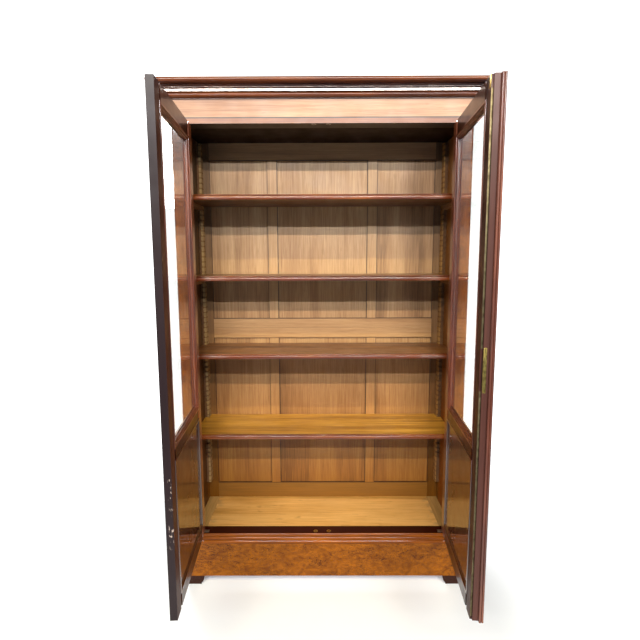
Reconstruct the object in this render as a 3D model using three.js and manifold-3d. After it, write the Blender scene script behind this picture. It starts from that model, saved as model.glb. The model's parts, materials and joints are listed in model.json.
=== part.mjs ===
// Two-door glazed bookcase with adjustable shelves: mahogany doors, posts, frieze and cornice,
// oak back, racks and cleats. Millimetres, +Z up, front facing -Y.
// Measures in plan are taken from the front plane of the carcass (y = 0) and its middle (x = 0);
// the whole assembly is moved at the end so that the origin is on the floor under its middle.
import * as THREE from 'three';
import { mergeVertices } from 'three/addons/utils/BufferGeometryUtils.js';
import Module from 'manifold-3d';

const wasm = await Module();
wasm.setup();

// ---- Driving dimensions -------------------------------------------------------------------
const HEIGHT = 2340;            // floor to the top of the cornice
const WIDTH = 1326;             // over the two front posts
const DEPTH = 385;              // front plane to the rear of the sides

const FOOT_H = 43;              // bracket feet
const FOOT_W = 63;
const PLINTH_H = 169;           // plinth board above the feet
const PLINTH_T = 22;
const BASE_H = 56;              // reeded base moulding
const BASE_LEDGE = 60;          // width of the ledge that the doors stand over
const SIDE_LEDGE = 88;          // the same at the sides, inside the case
const REED_COUNT = 3;
const REED_PROUD = 6;

const CORNICE_H = 69;
const CORNICE_OUT = 76;         // overhang of the cornice
const FRIEZE_H = 77;
const FRIEZE_T = 22;
const TOP_RAIL_H = 24;
const TOP_RAIL_DEPTH = 80;

const POST_FACE = 57.5;         // visible width of a front post
const POST_DEPTH = 100;
const POST_T = 40;              // thickness of the post's face beside the opening
const POST_CORNER_R = 9;        // rounded outer corner of the post
const SIDE_T = 32;              // outer face of the post to the inner wall
const SIDE_PANEL_SETBACK = 8;
const REAR_POST_DEPTH = 85;
const REAR_FLANGE = 51;         // rear post inside the wall, beside the back frames

const BOARD_T = 22;             // top and bottom boards
const BACK_SETBACK = 7;         // rear of the back frames to the rear of the sides
const BACK_FRAME_T = 20;
const BACK_PANEL_T = 8;
const BACK_LIP = 8;             // frame in front of a back panel
const BACK_LAP = 8;             // panel behind the rails and muntins
const BACK_MUNTIN = 51;
const BACK_MUNTIN_X = 258.5;    // middle of the case to the middle of a muntin
const BACK_SPLIT = 955;         // deck to the joint between the two back frames
const DUST_BOARD_T = 12;        // board that closes the top inside the cornice
const BACK_TOP_SHOWN = 85;      // upper frame's top rail below the top board
const BACK_MID_UPPER = 49;
const BACK_MID_LOWER = 56;
const BACK_FOOT_SHOWN = 84;     // lower frame's bottom rail above the deck

const DOOR_T = 28;
const DOOR_SETBACK = 2;         // door face behind the front plane
const DOOR_OPEN = 86;           // degrees, as the doors stand
const STILE_FLAT = 58;          // pivot line to the bead on the hinge stile
const MEETING_FLAT = 60;
const RAIL_FLAT = 60;           // top rail above its bead
const MID_RAIL_FLAT = 40;
const BOTTOM_RAIL_FLAT = 58;
const MID_RAIL_Z = 612;         // deck to the middle of the middle rail
const SASH_LIP = 18;            // lip in front of the glass and of the lower panel
const SASH_LIP_T = 12;
const GLASS_T = 3.5;
const BEAD_W = 20;
const BEAD_PROUD = 3;           // beads above the inner face of the door
const PANEL_T = 11;
const MEETING_STEP = 8;         // rebate on the inner edge of the right meeting stile
const ASTRAGAL_W = 38;
const ASTRAGAL_T = 18;
const ASTRAGAL_LAP = 12;

const PIVOT_R = 4;
const PIVOT_PLATE = { long: 58, wide: 16, thick: 3 };
const PIVOT_REACH = 9;          // pin beyond the edge of the door
const BOLT_R = 4;
const BOLT_INSET = 26;          // bolt's middle to the meeting edge
const BOLT_SHOWN = 1.5;         // tip beyond the door when drawn back
const BOLT_THROW = 12;
const LOCK = { long: 142, deep: 48, thick: 11, height: 867 };   // height: deck to its foot

const SHELF_T = 24;
const SHELF_SETBACK = 45;       // shelf's front edge behind the front plane
const SHELF_NOTCHES = [0.806, 0.58, 0.355, 0.113];     // places up the racks, as shares
const RACK_T = 21;
const RACK_W = 42;
const RACK_SETBACK = 55;        // front racks behind the front plane
const RACK_REAR_GAP = 8;        // rear racks to the back
const RACK_FOOT = 110;          // deck to the foot of the racks
const RACK_HEAD = 10;           // head of the racks to the top of the opening
const RACK_PLAIN = 137.2;       // plain length below the lowest notch
const NOTCH_PITCH = 26.3;
const NOTCH_DEPTH = 9;
const CLEAT_H = 22;

const GAP = 0.3;                // between pieces that touch
const SWING_GAP = 1.5;          // hinge edge to post
const MEETING_GAP = 2;          // between the closed doors
const DOOR_TOP_GAP = 3;
const DOOR_FOOT_GAP = 4;
const SHELF_GAP = 2;            // shelf to sides, racks and back
const PIN_GAP = 0.1;            // pins and bolts in their holes
const PIN_SIDES = 24;

// ---- Places worked out from them ------------------------------------------------------------
const HALF = WIDTH / 2;
const DECK_Z = FOOT_H + PLINTH_H + BASE_H;
const CORNICE_Z = HEIGHT - CORNICE_H;
const FRIEZE_Z = CORNICE_Z - FRIEZE_H;
const OPENING_TOP = FRIEZE_Z - TOP_RAIL_H;
const WALL_X = HALF - SIDE_T;
const OPENING_X = HALF - POST_FACE;
const BACK_Y = DEPTH - BACK_SETBACK - BACK_FRAME_T;
const BACK_X = WALL_X - REAR_FLANGE;

const PIVOT_X = OPENING_X - SWING_GAP - DOOR_T / 2;
const PIVOT_Y = DOOR_SETBACK + DOOR_T / 2;
const DOOR_LENGTH = PIVOT_X - MEETING_GAP / 2;      // pivot line to the meeting edge
const DOOR_FOOT = DECK_Z + DOOR_FOOT_GAP;
const DOOR_HEAD = OPENING_TOP - DOOR_TOP_GAP;
const FACE_IN = DOOR_T / 2;                         // inner face, from the pivot line
const FACE_OUT = -DOOR_T / 2;
const LIP_IN = FACE_OUT + SASH_LIP_T;               // inner side of the lip

const RACK_FOOT_Z = DECK_Z + RACK_FOOT;
const RACK_HEAD_Z = OPENING_TOP - RACK_HEAD;
const FIRST_NOTCH_Z = RACK_FOOT_Z + RACK_PLAIN;
const NOTCH_COUNT = Math.floor((RACK_HEAD_Z - FIRST_NOTCH_Z - NOTCH_PITCH / 2) / NOTCH_PITCH);
const REAR_RACK_Y = BACK_Y - RACK_REAR_GAP - RACK_W;

// ---- Colours and finishes ---------------------------------------------------------------------
const finish = (color, roughness, metalness = 0) =>
  new THREE.MeshStandardMaterial({ color, roughness, metalness });
const MAHOGANY = finish(0x6e3218, 0.28);
const DARK_MAHOGANY = finish(0x4a2010, 0.25);
const BURR = finish(0xa85e20, 0.3);
const OAK = finish(0xa67c4e, 0.6);
const SHELF_WOOD = finish(0x8f5a28, 0.4);
const RAW_WOOD = finish(0xc0965a, 0.7);
const BRASS = finish(0xd0b868, 0.3, 1);
const STEEL = finish(0x8a8a88, 0.4, 1);
const GLASS = Object.assign(finish(0xe8f0ee, 0.05), { transparent: true, opacity: 0.25 });

// ---- Shape helpers ------------------------------------------------------------------------------
const box = (x0, x1, y0, y1, z0, z1) =>
  new THREE.BoxGeometry(x1 - x0, y1 - y0, z1 - z0)
    .translate((x0 + x1) / 2, (y0 + y1) / 2, (z0 + z1) / 2);

const outline = (points) => new THREE.Shape(points.map(([a, b]) => new THREE.Vector2(a, b)));

const extrude = (shape, depth) =>
  new THREE.ExtrudeGeometry(shape, { depth, bevelEnabled: false, curveSegments: 8 });

// Prisms with an outline in plan, in the YZ plane and in the XZ plane.
const prismZ = (points, z0, z1) => extrude(outline(points), z1 - z0).translate(0, 0, z0);

const YZ_TO_X = new THREE.Matrix4().makeBasis(
  new THREE.Vector3(0, 1, 0), new THREE.Vector3(0, 0, 1), new THREE.Vector3(1, 0, 0));
const prismX = (points, x0, x1) =>
  extrude(outline(points), x1 - x0).applyMatrix4(YZ_TO_X).translate(x0, 0, 0);

const prismY = (points, y0, y1) =>
  extrude(outline(points), y1 - y0).rotateX(Math.PI / 2).translate(0, y1, 0);

const cylinderZ = (radius, x, y, z0, z1) =>
  new THREE.CylinderGeometry(radius, radius, z1 - z0, PIN_SIDES)
    .rotateX(Math.PI / 2).translate(x, y, (z0 + z1) / 2);

// Points along an elliptical arc, angles in degrees.
const arc = (cx, cy, rx, ry, from, to, steps) =>
  Array.from({ length: steps + 1 }, (_, i) => {
    const angle = THREE.MathUtils.degToRad(from + (to - from) * i / steps);
    return [cx + rx * Math.cos(angle), cy + ry * Math.sin(angle)];
  });

const mirrorX = (points, side) => points.map(([x, y]) => [side * x, y]);

// ---- Joining and cutting -----------------------------------------------------------------------
const solid = (geometry) => {
  const bare = geometry.clone();
  bare.deleteAttribute('normal');
  bare.deleteAttribute('uv');
  const merged = mergeVertices(bare, 1e-4);
  return new wasm.Manifold(new wasm.Mesh({
    numProp: 3,
    vertProperties: new Float32Array(merged.attributes.position.array),
    triVerts: new Uint32Array(merged.index.array),
  }));
};

const geometryOf = (manifold) => {
  const mesh = manifold.getMesh();
  const geometry = new THREE.BufferGeometry();
  geometry.setAttribute('position', new THREE.BufferAttribute(mesh.vertProperties, 3));
  geometry.setIndex(new THREE.BufferAttribute(mesh.triVerts, 1));
  geometry.computeVertexNormals();
  return geometry;
};

const join = (...geometries) =>
  geometryOf(geometries.map(solid).reduce((whole, next) => whole.add(next)));

const cut = (geometry, ...tools) =>
  geometryOf(tools.map(solid).reduce((whole, tool) => whole.subtract(tool), solid(geometry)));

// A moulding that runs along the left side, the front and the right side with mitred corners.
// The profile's points are [outward from the carcass face, height], with a third value where
// the distance outward is different along the sides.
const mitredSurround = (profile) => {
  const stations = profile.map(([out, , sideOut = out]) => [
    [-(HALF + sideOut), DEPTH], [-(HALF + sideOut), -out], [HALF + sideOut, -out], [HALF + sideOut, DEPTH],
  ]);
  const positions = [];
  for (let corner = 0; corner < 4; corner++) {
    profile.forEach(([, z], i) => positions.push(...stations[i][corner], z));
  }
  const count = profile.length;
  const indices = [];
  for (let corner = 0; corner < 3; corner++) {
    for (let i = 0; i < count; i++) {
      const a = corner * count + i;
      const b = corner * count + (i + 1) % count;
      indices.push(a, b + count, b, a, a + count, b + count);
    }
  }
  const flat = profile.map(([out, z]) => new THREE.Vector2(out, z));
  for (const [a, b, c] of THREE.ShapeUtils.triangulateShape(flat, [])) {
    indices.push(a, b, c);
    indices.push(a + 3 * count, c + 3 * count, b + 3 * count);
  }
  const geometry = new THREE.BufferGeometry();
  geometry.setAttribute('position', new THREE.Float32BufferAttribute(positions, 3));
  geometry.setIndex(indices);
  geometry.computeVertexNormals();
  return geometry;
};

// ---- Assembly --------------------------------------------------------------------------------
const bookcase = new THREE.Group();

const add = (name, geometry, material, parent = bookcase) => {
  const mesh = new THREE.Mesh(geometry, material);
  mesh.name = name;
  parent.add(mesh);
};

const SIDES = [['left', -1], ['right', 1]];

// ---- Plinth with bracket feet, base moulding -----------------------------------------------------
const footArch = (from, to) => [
  [from, -1],
  ...arc(from, FOOT_H, FOOT_H * 0.35, FOOT_H * 0.8, -90, 0, 4),
  ...arc(to, FOOT_H, FOOT_H * 0.35, FOOT_H * 0.8, 180, 270, 4),
  [to, -1],
];

const plinthBlank = mitredSurround([
  [-PLINTH_T, 0], [0, 0], [0, FOOT_H + PLINTH_H], [-PLINTH_T, FOOT_H + PLINTH_H],
]);
const frontArch = prismY(footArch(-(HALF - FOOT_W), HALF - FOOT_W), -1, PLINTH_T + 1);
const sideArch = prismX(footArch(FOOT_W, DEPTH - FOOT_W), -HALF - 1, HALF + 1);
add('plinth', cut(plinthBlank, frontArch, sideArch), BURR);

const baseFoot = FOOT_H + PLINTH_H + GAP;
const reedH = (DECK_Z - baseFoot) / REED_COUNT;
const reeds = Array.from({ length: REED_COUNT }, (_, i) =>
  arc(0, baseFoot + reedH * (i + 0.5), REED_PROUD, reedH / 2, -90, 90, 6).slice(i ? 1 : 0)).flat();
const pinHoles = (z0, z1) => [
  cylinderZ(PIVOT_R + PIN_GAP, -PIVOT_X, PIVOT_Y, z0, z1),
  cylinderZ(PIVOT_R + PIN_GAP, PIVOT_X, PIVOT_Y, z0, z1),
  cylinderZ(BOLT_R + 5 * PIN_GAP, BOLT_INSET + MEETING_GAP / 2, PIVOT_Y, z0, z1),
];
const pinHoleDepth = PIVOT_REACH + BOLT_THROW;
const ledge = (z) => [-BASE_LEDGE + GAP, z, -SIDE_LEDGE + GAP];
const baseBlank = mitredSurround([ledge(baseFoot), ...reeds, ledge(DECK_Z)]);
add('base_moulding', cut(baseBlank, ...pinHoles(DECK_Z - pinHoleDepth, DECK_Z + 1)), MAHOGANY);

// ---- Posts, sides, top and bottom boards ------------------------------------------------------------
const standFoot = DECK_Z + GAP;
const standHead = FRIEZE_Z - GAP;

const postPlan = [
  [OPENING_X, 0],
  ...arc(HALF - POST_CORNER_R, POST_CORNER_R, POST_CORNER_R, POST_CORNER_R, -90, 0, 5),
  [HALF, POST_DEPTH], [WALL_X, POST_DEPTH], [WALL_X, POST_T], [OPENING_X, POST_T],
];
const rearPostY = DEPTH - REAR_POST_DEPTH;
const panelFace = HALF - SIDE_PANEL_SETBACK;
const sidePlan = [
  [WALL_X, POST_DEPTH + GAP], [panelFace, POST_DEPTH + GAP], [panelFace, rearPostY],
  [HALF, rearPostY], [HALF, DEPTH], [BACK_X, DEPTH], [BACK_X, BACK_Y], [WALL_X, BACK_Y],
];
for (const [name, side] of SIDES) {
  add(`${name}_front_post`, prismZ(mirrorX(postPlan, side), standFoot, standHead), BURR);
  add(`${name}_side`, prismZ(mirrorX(sidePlan, side), standFoot, standHead), MAHOGANY);
}

const railX = OPENING_X - GAP;
const topRail = box(-railX, railX, 0, TOP_RAIL_DEPTH - GAP, OPENING_TOP, standHead);
add('top_front_rail', cut(topRail, ...pinHoles(OPENING_TOP - 1, OPENING_TOP + pinHoleDepth)), MAHOGANY);

const boardX = WALL_X - GAP;
const boardRear = BACK_Y - GAP;
add('top_board', box(-boardX, boardX, TOP_RAIL_DEPTH, boardRear, OPENING_TOP, OPENING_TOP + BOARD_T),
  OAK);
const dustX = HALF - FRIEZE_T - GAP;
add('dust_board', box(-dustX, dustX, FRIEZE_T + GAP, DEPTH - BACK_SETBACK, CORNICE_Z,
  CORNICE_Z + DUST_BOARD_T), OAK);
const deckX = HALF - SIDE_LEDGE - GAP;
add('bottom_board', box(-deckX, deckX, BASE_LEDGE, DEPTH - BACK_SETBACK, DECK_Z - BOARD_T, DECK_Z),
  OAK);

// ---- Frieze and cornice --------------------------------------------------------------------------
add('frieze', mitredSurround([
  [-FRIEZE_T, FRIEZE_Z], [0, FRIEZE_Z], [0, CORNICE_Z - GAP], [-FRIEZE_T, CORNICE_Z - GAP],
]), MAHOGANY);

const lowerRoundR = CORNICE_H * 0.14;
const upperRoundR = CORNICE_H * 0.165;
const lowerRoundX = CORNICE_OUT * 0.31;
const upperRoundX = CORNICE_OUT - upperRoundR;
const lowerRoundZ = CORNICE_Z + 2 + lowerRoundR;
const coveFoot = lowerRoundZ + lowerRoundR + 4;
const coveHead = HEIGHT - 2 * upperRoundR - 3;
const coveX = lowerRoundX - 4;
const coveOut = upperRoundX - 12;
add('cornice', mitredSurround([
  [-FRIEZE_T, CORNICE_Z], [lowerRoundX - 8, CORNICE_Z], [lowerRoundX - 8, CORNICE_Z + 2],
  ...arc(lowerRoundX, lowerRoundZ, lowerRoundR, lowerRoundR, -90, 90, 8),
  [coveX, lowerRoundZ + lowerRoundR],
  ...arc(coveOut, coveFoot, coveOut - coveX, coveHead - coveFoot, 180, 90, 5),
  [upperRoundX - 8, coveHead], [upperRoundX - 8, HEIGHT - 2 * upperRoundR],
  ...arc(upperRoundX, HEIGHT - upperRoundR, upperRoundR, upperRoundR, -90, 90, 8),
  [-FRIEZE_T, HEIGHT],
]), MAHOGANY);

// ---- Back: two stacked frames of rails and muntins between the rear posts, with three panels each -------
const frameX = BACK_X - GAP;
const backSplitZ = DECK_Z + BACK_SPLIT;
const columns = [
  ['left', -frameX, -BACK_MUNTIN_X - BACK_MUNTIN / 2],
  ['middle', -BACK_MUNTIN_X + BACK_MUNTIN / 2, BACK_MUNTIN_X - BACK_MUNTIN / 2],
  ['right', BACK_MUNTIN_X + BACK_MUNTIN / 2, frameX],
];
const panelY = BACK_Y + BACK_LIP + GAP;
const backSection = (name, foot, head, panelFoot, panelHead) => {
  const blank = box(-frameX, frameX, BACK_Y, BACK_Y + BACK_FRAME_T, foot, head);
  const windows = columns.flatMap(([, x0, x1]) => [
    box(x0, x1, BACK_Y - 1, BACK_Y + BACK_FRAME_T + 1, panelFoot, panelHead),
    box(x0 - BACK_LAP - GAP, x1 + BACK_LAP + GAP, BACK_Y + BACK_LIP, BACK_Y + BACK_FRAME_T + 1,
      panelFoot - BACK_LAP - GAP, panelHead + BACK_LAP + GAP),
  ]);
  add(`back_${name}_frame`, cut(blank, ...windows), OAK);
  for (const [column, x0, x1] of columns) {
    add(`back_${name}_${column}_panel`, box(Math.max(x0 - BACK_LAP, -frameX),
      Math.min(x1 + BACK_LAP, frameX), panelY, panelY + BACK_PANEL_T, panelFoot - BACK_LAP,
      panelHead + BACK_LAP), OAK);
  }
};
backSection('upper', backSplitZ + GAP, CORNICE_Z - GAP, backSplitZ + BACK_MID_UPPER,
  OPENING_TOP - BACK_TOP_SHOWN);
backSection('lower', DECK_Z + GAP, backSplitZ - GAP, DECK_Z + BACK_FOOT_SHOWN,
  backSplitZ - BACK_MID_LOWER);

// ---- Sawtooth racks, cleats and shelves -----------------------------------------------------------
// A rack's toothed edge in the YZ plane, for a front rack: each notch is a flat seat with a slope
// rising over it to the tip of the next tooth.
const rackEdgeY = RACK_SETBACK + RACK_W;
const rackOutline = [[RACK_SETBACK, RACK_FOOT_Z], [rackEdgeY, RACK_FOOT_Z]];
for (let notch = 0; notch <= NOTCH_COUNT; notch++) {
  const seat = FIRST_NOTCH_Z + notch * NOTCH_PITCH;
  rackOutline.push([rackEdgeY, seat], [rackEdgeY - NOTCH_DEPTH, seat]);
}
rackOutline.push([rackEdgeY - NOTCH_DEPTH, RACK_HEAD_Z], [RACK_SETBACK, RACK_HEAD_Z]);
const rackMiddle = (RACK_SETBACK + REAR_RACK_Y + RACK_W) / 2;
const toRear = (points) => points.map(([y, z]) => [2 * rackMiddle - y, z]);

const seatOf = (share) => FIRST_NOTCH_Z + Math.round(share * NOTCH_COUNT) * NOTCH_PITCH;
const cleatOutline = (seat) => {
  const slope = NOTCH_DEPTH * CLEAT_H / NOTCH_PITCH;
  const low = rackEdgeY - NOTCH_DEPTH + GAP;
  const ends = [[low, seat + GAP], [low + slope + GAP, seat + CLEAT_H]];
  const [rearFoot, rearHead] = toRear(ends);
  return [ends[0], rearFoot, rearHead, ends[1]];
};

for (const [name, side] of SIDES) {
  const [x0, x1] = side < 0
    ? [-WALL_X + GAP, -WALL_X + RACK_T]
    : [WALL_X - RACK_T, WALL_X - GAP];
  add(`${name}_front_rack`, prismX(rackOutline, x0, x1), RAW_WOOD);
  add(`${name}_rear_rack`, prismX(toRear(rackOutline), x0, x1), RAW_WOOD);
  SHELF_NOTCHES.forEach((share, i) =>
    add(`shelf_${i + 1}_${name}_cleat`, prismX(cleatOutline(seatOf(share)), x0, x1), OAK));
}

const shelfX = WALL_X - SHELF_GAP;
const shelfNotchX = WALL_X - RACK_T - SHELF_GAP;
const shelfRear = BACK_Y - SHELF_GAP;
const shelfSide = [
  [shelfX, SHELF_SETBACK], [shelfX, RACK_SETBACK - SHELF_GAP],
  [shelfNotchX, RACK_SETBACK - SHELF_GAP], [shelfNotchX, rackEdgeY + SHELF_GAP],
  [shelfX, rackEdgeY + SHELF_GAP], [shelfX, REAR_RACK_Y - SHELF_GAP],
  [shelfNotchX, REAR_RACK_Y - SHELF_GAP], [shelfNotchX, shelfRear],
];
const shelfPlan = [...shelfSide, ...mirrorX(shelfSide, -1).reverse()];
SHELF_NOTCHES.forEach((share, i) => {
  const underside = seatOf(share) + CLEAT_H + GAP;
  add(`shelf_${i + 1}`, prismZ(shelfPlan, underside, underside + SHELF_T), SHELF_WOOD);
});

// ---- Doors -------------------------------------------------------------------------------------
// A leaf is drawn closed about its pivot line: x from the pivot towards the meeting edge for the
// left leaf (mirrored for the right one), y from the outer face (-) to the inner face (+).
const sash = {
  left: STILE_FLAT,
  right: DOOR_LENGTH - MEETING_FLAT,
  glassFoot: DECK_Z + MID_RAIL_Z + MID_RAIL_FLAT / 2,
  glassHead: DOOR_HEAD - RAIL_FLAT,
  panelFoot: DOOR_FOOT + BOTTOM_RAIL_FLAT,
  panelHead: DECK_Z + MID_RAIL_Z - MID_RAIL_FLAT / 2,
};

const hingeStilePlan = [
  ...arc(0, 0, FACE_IN, FACE_IN, 270, 90, 10),
  [sash.left, FACE_IN], [sash.left, LIP_IN], [sash.left + SASH_LIP, LIP_IN],
  [sash.left + SASH_LIP, FACE_OUT],
];
const meetingStilePlan = (step) => [
  [sash.right - SASH_LIP, FACE_OUT], [DOOR_LENGTH, FACE_OUT],
  ...(step ? [[DOOR_LENGTH, FACE_IN - step], [DOOR_LENGTH - step, FACE_IN - step],
    [DOOR_LENGTH - step, FACE_IN]] : [[DOOR_LENGTH, FACE_IN]]),
  [sash.right, FACE_IN], [sash.right, LIP_IN], [sash.right - SASH_LIP, LIP_IN],
];

// A rail's section in the YZ plane, with a lip above, below or on both sides.
const railSection = (foot, head, lipBelow, lipAbove) => [
  [FACE_OUT, foot - lipBelow], [LIP_IN, foot - lipBelow], [LIP_IN, foot], [FACE_IN, foot],
  [FACE_IN, head], [LIP_IN, head], [LIP_IN, head + lipAbove], [FACE_OUT, head + lipAbove],
];

// A rectangular ring lying against the inside of the members.
const ring = (x0, x1, z0, z1, width, yBack, yFace) => {
  const frame = box(x0, x1, yBack, yFace, z0, z1);
  const window = box(x0 + width, x1 - width, yBack - 1, yFace + 1, z0 + width, z1 - width);
  return cut(frame, window);
};

const doorLeaf = (name, side) => {
  const leaf = new THREE.Group();
  leaf.position.set(side * PIVOT_X, PIVOT_Y, 0);
  leaf.rotation.z = side * THREE.MathUtils.degToRad(DOOR_OPEN);
  bookcase.add(leaf);

  const place = (part, geometry, material) => add(`${name}_door_${part}`, geometry, material, leaf);
  const plan = (points) => mirrorX(points, -side);
  const span = (x0, x1) => (side < 0 ? [x0, x1] : [-x1, -x0]);
  const block = (x0, x1, y0, y1, z0, z1) => box(...span(x0, x1), y0, y1, z0, z1);
  const pin = (radius, x, z0, z1) => cylinderZ(radius, -side * x, 0, z0, z1);

  // Pivot plates are let into the ends of the hinge stile; their pins turn in the carcass.
  const plateX0 = -PIVOT_PLATE.wide / 2;
  const plateX1 = plateX0 + PIVOT_PLATE.long;
  const plateY = PIVOT_PLATE.wide / 2;
  const recess = PIVOT_PLATE.thick + GAP;
  const plateCut = (z0, z1) => block(plateX0 - GAP, plateX1 + GAP, -plateY - GAP, plateY + GAP, z0, z1);
  place('hinge_stile', cut(prismZ(plan(hingeStilePlan), DOOR_FOOT, DOOR_HEAD),
    plateCut(DOOR_HEAD - recess, DOOR_HEAD + 1), plateCut(DOOR_FOOT - 1, DOOR_FOOT + recess)),
  MAHOGANY);
  place('top_pivot', join(
    block(plateX0, plateX1, -plateY, plateY, DOOR_HEAD - PIVOT_PLATE.thick, DOOR_HEAD),
    pin(PIVOT_R, 0, DOOR_HEAD - 1, DOOR_HEAD + PIVOT_REACH)), BRASS);
  place('bottom_pivot', join(
    block(plateX0, plateX1, -plateY, plateY, DOOR_FOOT, DOOR_FOOT + PIVOT_PLATE.thick),
    pin(PIVOT_R, 0, DOOR_FOOT - PIVOT_REACH, DOOR_FOOT + 1)), BRASS);

  // The right leaf closes last: its meeting stile holds the lock and the two rod bolts that run
  // from it to the ends of the leaf.
  const locks = side > 0;
  const meetingStile = prismZ(plan(meetingStilePlan(locks ? MEETING_STEP : 0)), DOOR_FOOT, DOOR_HEAD);
  if (locks) {
    const boltX = DOOR_LENGTH - BOLT_INSET;
    const bore = BOLT_R + PIN_GAP;
    const lockFoot = DECK_Z + LOCK.height;
    const lockHead = lockFoot + LOCK.long;
    const lockY = LOCK.thick / 2;
    const lockCut = block(DOOR_LENGTH - LOCK.deep - GAP, DOOR_LENGTH + 1, -lockY - GAP, lockY + GAP,
      lockFoot - GAP, lockHead + GAP);
    place('meeting_stile', cut(meetingStile, lockCut, pin(bore, boltX, DOOR_FOOT - 1, DOOR_HEAD + 1)),
      MAHOGANY);
    place('lock', block(DOOR_LENGTH - LOCK.deep, DOOR_LENGTH, -lockY, lockY, lockFoot, lockHead), BRASS);
    place('top_bolt', pin(BOLT_R, boltX, lockHead + GAP, DOOR_HEAD + BOLT_SHOWN), STEEL);
    place('bottom_bolt', pin(BOLT_R, boltX, DOOR_FOOT - BOLT_SHOWN, lockFoot - GAP), STEEL);
    const astragalEdge = DOOR_LENGTH + ASTRAGAL_LAP;
    const astragalFace = FACE_OUT - GAP;
    const roundX = ASTRAGAL_W / 2;
    place('astragal', prismZ(plan([
      [astragalEdge - ASTRAGAL_W, astragalFace],
      ...arc(astragalEdge - roundX, astragalFace - ASTRAGAL_T / 2, roundX, ASTRAGAL_T / 2, 180, 360, 10),
      [astragalEdge, astragalFace],
    ]), DOOR_FOOT, DOOR_HEAD), MAHOGANY);
  } else {
    place('meeting_stile', meetingStile, MAHOGANY);
  }

  const [railX0, railX1] = span(sash.left + SASH_LIP + GAP, sash.right - SASH_LIP - GAP);
  place('top_rail', prismX(railSection(sash.glassHead, DOOR_HEAD, SASH_LIP, 0), railX0, railX1),
    MAHOGANY);
  place('middle_rail', prismX(railSection(sash.panelHead, sash.glassFoot, SASH_LIP, SASH_LIP),
    railX0, railX1), MAHOGANY);
  place('bottom_rail', prismX(railSection(DOOR_FOOT, sash.panelFoot, 0, SASH_LIP), railX0, railX1),
    MAHOGANY);

  const [x0, x1] = [sash.left + GAP, sash.right - GAP];
  const glassFoot = sash.glassFoot + GAP;
  const glassHead = sash.glassHead - GAP;
  const glassY = LIP_IN + GAP;
  place('glass', block(x0, x1, glassY, glassY + GLASS_T, glassFoot, glassHead), GLASS);
  place('glazing_bead', ring(...span(x0, x1), glassFoot, glassHead, BEAD_W, glassY + GLASS_T + GAP,
    FACE_IN + BEAD_PROUD), DARK_MAHOGANY);
  const panelFoot = sash.panelFoot + GAP;
  const panelHead = sash.panelHead - GAP;
  place('lower_panel', join(
    block(x0, x1, glassY, glassY + PANEL_T, panelFoot, panelHead),
    ring(...span(x0, x1), panelFoot, panelHead, BEAD_W, glassY + 1, FACE_IN + BEAD_PROUD)),
  DARK_MAHOGANY);
};
for (const [name, side] of SIDES) doorLeaf(name, side);

// ---- Origin: on the floor, under the middle of the bookcase as it stands with its doors open -------
bookcase.updateMatrixWorld(true);
const bounds = new THREE.Box3().setFromObject(bookcase, true);
bookcase.position.set(-(bounds.min.x + bounds.max.x) / 2, -(bounds.min.y + bounds.max.y) / 2, 0);

export default bookcase;
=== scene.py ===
"""Looks of the two-door glazed bookcase with adjustable shelves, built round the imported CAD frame.

Metres, +Z up, front facing -Y. Door pieces are drawn closed, in leaf space: x from the pivot to the
meeting edge, y from the outer face (-) to the inner face (+). leaf_matrix places them as they stand.
"""
import json
import math

import bmesh
import bpy
from mathutils import Matrix, Vector

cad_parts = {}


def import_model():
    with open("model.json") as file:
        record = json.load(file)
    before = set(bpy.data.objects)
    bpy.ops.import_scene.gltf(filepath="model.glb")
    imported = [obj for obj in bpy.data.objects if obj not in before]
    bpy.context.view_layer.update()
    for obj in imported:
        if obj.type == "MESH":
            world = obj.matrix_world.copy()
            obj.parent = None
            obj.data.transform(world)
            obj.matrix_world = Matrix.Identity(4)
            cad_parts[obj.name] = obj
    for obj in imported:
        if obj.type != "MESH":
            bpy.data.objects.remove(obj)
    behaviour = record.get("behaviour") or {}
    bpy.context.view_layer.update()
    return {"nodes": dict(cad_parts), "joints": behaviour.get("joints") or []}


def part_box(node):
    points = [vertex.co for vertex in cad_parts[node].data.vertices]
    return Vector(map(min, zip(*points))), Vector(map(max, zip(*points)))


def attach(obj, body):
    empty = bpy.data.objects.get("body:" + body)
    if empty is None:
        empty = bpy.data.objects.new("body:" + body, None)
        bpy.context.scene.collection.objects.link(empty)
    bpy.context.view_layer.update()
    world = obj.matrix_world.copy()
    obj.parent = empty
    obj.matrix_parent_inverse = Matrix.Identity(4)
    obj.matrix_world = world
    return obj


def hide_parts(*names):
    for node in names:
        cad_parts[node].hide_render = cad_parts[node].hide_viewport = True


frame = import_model()
NODES = frame["nodes"]
JOINTS = {joint["name"]: joint for joint in frame["joints"]}
MM = 0.001

# ---- Places read from the frame -----------------------------------------------------------------
post_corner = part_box("left_front_post")[0]
FRONT_Y = post_corner.y
HALF_WIDTH = -post_corner.x
DECK_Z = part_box("bottom_board")[1].z
OPENING_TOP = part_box("top_board")[0].z
SIDES = (("left", -1), ("right", 1))
SHELVES = range(1, 5)
DOOR_OPEN = {
    side: side * math.radians(JOINTS[f"{name}_door_hinge"]["range_deg"][1]) for name, side in SIDES}


def leaf_matrix(side):
    """From leaf space, with the leaf closed, to where the leaf stands."""
    name = "left" if side < 0 else "right"
    pivot = Vector(JOINTS[f"{name}_door_hinge"]["pos_m"])
    turn = Matrix.Rotation(DOOR_OPEN[side], 4, "Z")
    return Matrix.Translation(pivot) @ turn @ Matrix.Diagonal((-side, 1, 1, 1))


def leaf_box(node, side):
    """Lowest and highest corners of a door's CAD node in leaf space."""
    inverse = leaf_matrix(side).inverted()
    points = [inverse @ vertex.co for vertex in NODES[node].data.vertices]
    low = Vector(min(point[axis] for point in points) for axis in range(3))
    high = Vector(max(point[axis] for point in points) for axis in range(3))
    return low, high


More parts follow.
